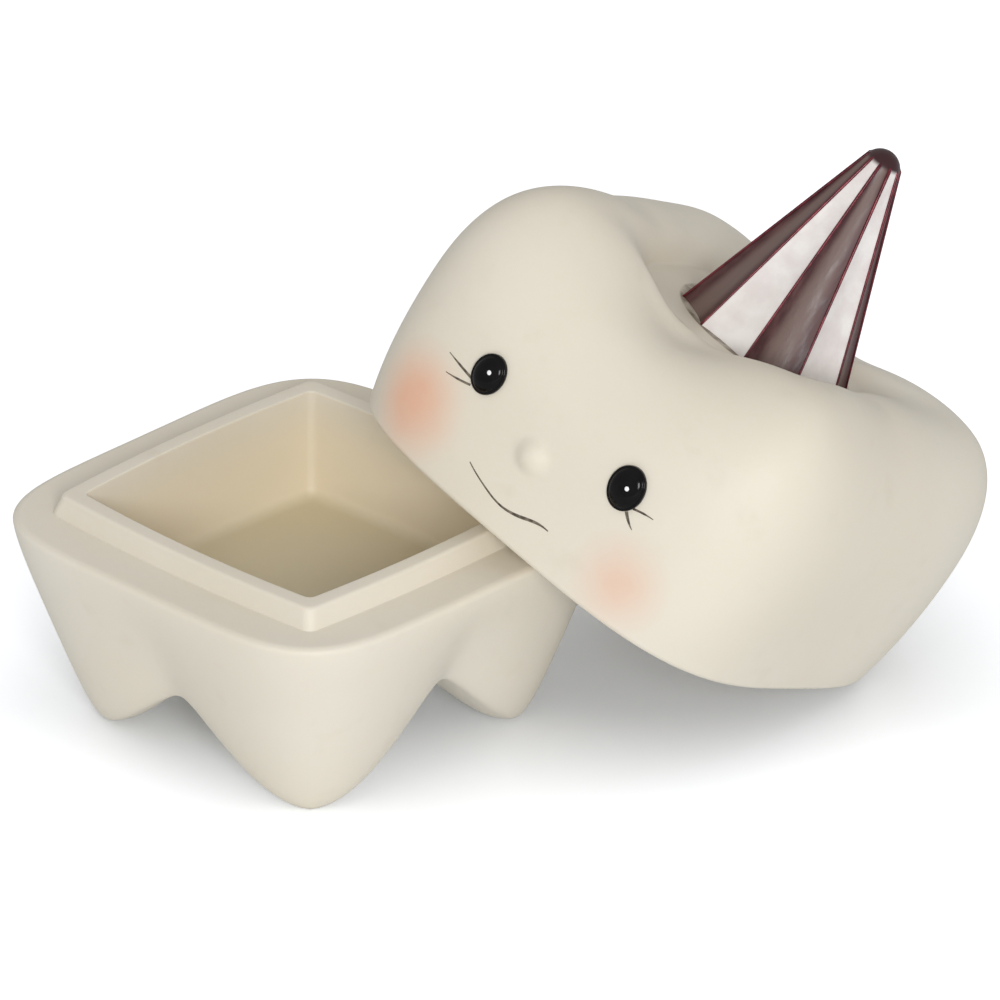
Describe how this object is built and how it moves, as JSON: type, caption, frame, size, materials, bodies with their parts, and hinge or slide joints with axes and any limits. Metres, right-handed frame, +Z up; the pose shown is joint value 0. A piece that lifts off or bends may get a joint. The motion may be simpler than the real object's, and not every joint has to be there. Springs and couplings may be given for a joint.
{
  "type": "tooth-shaped keepsake box",
  "caption": "Tooth-shaped keepsake box: a footed tray with a square cavity and collar, and a hollow lid with a face and a striped party hat, leaning on the tray.",
  "frame": {"origin": "on the ground, under the middle of the box that holds every piece at rest", "axes": "+Z up; the sides of the tray lie along X and Y; the lid leans on the tray's corner towards +X and +Y, and its face looks towards -Y"},
  "size_m": [0.1004, 0.1134, 0.0772],
  "materials": {
    "tray_resin": "matte cream cast resin",
    "lid_resin": "matte cream cast resin",
    "hat_paint": "pearly dark red and white paint on resin",
    "left_eye_paint": "glossy black",
    "right_eye_paint": "glossy black"
  },
  "bodies": {
    "tray": {"tray": "tray_resin"},
    "lid": {"lid": "lid_resin", "party_hat": "hat_paint", "left_eye": "left_eye_paint", "right_eye": "right_eye_paint"}
  },
  "joints": [
    {"name": "lid_lift", "type": "slide", "parent": "tray", "child": "lid", "axis": [0, 0, 1], "range_m": [0, 0.06]}
  ]
}
